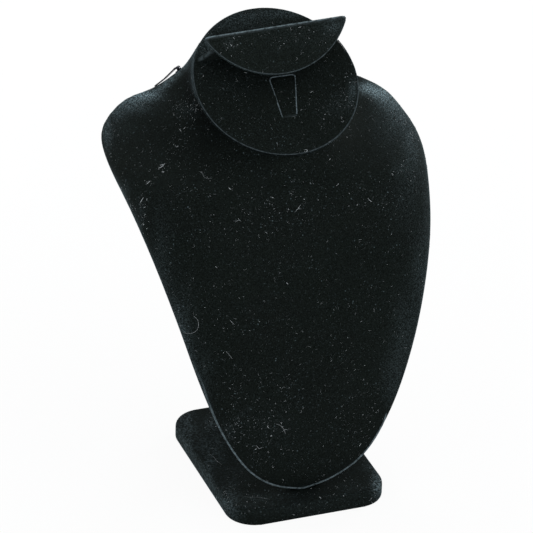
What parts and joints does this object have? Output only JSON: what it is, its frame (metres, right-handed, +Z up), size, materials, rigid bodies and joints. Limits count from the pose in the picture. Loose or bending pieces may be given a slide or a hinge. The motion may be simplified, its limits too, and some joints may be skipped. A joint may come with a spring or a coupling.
{
  "type": "necklace stand",
  "caption": "Velvet-covered chest-shaped necklace stand on a rounded base, with a sloping neck disc, a ring tab, a half-moon earring flap and spring clips at the neck",
  "frame": {"origin": "middle of the underside of the base, on the surface it stands on", "axes": "+Z up, the chest faces -Y, +X to the right of someone facing the chest's front"},
  "size_m": [0.207, 0.1689, 0.311],
  "materials": {
    "velvet": "short black flock pile over a moulded or board core",
    "spring_steel": "plated spring strip",
    "bare_wood": "sawn softwood",
    "dark_wood": "black stained wood",
    "screw_steel": "zinc plated",
    "felt": "thin pressed felt"
  },
  "bodies": {
    "root": {"bust_shell": "velvet", "neck_disc": "velvet", "earring_flap": "velvet", "necklace_clip_left": "spring_steel", "necklace_clip_right": "spring_steel", "neck_block": "bare_wood", "support_post": "dark_wood", "neck_screws": "screw_steel", "base_screws": "screw_steel", "base_board": "velvet", "base_liner": "felt"}
  },
  "joints": []
}
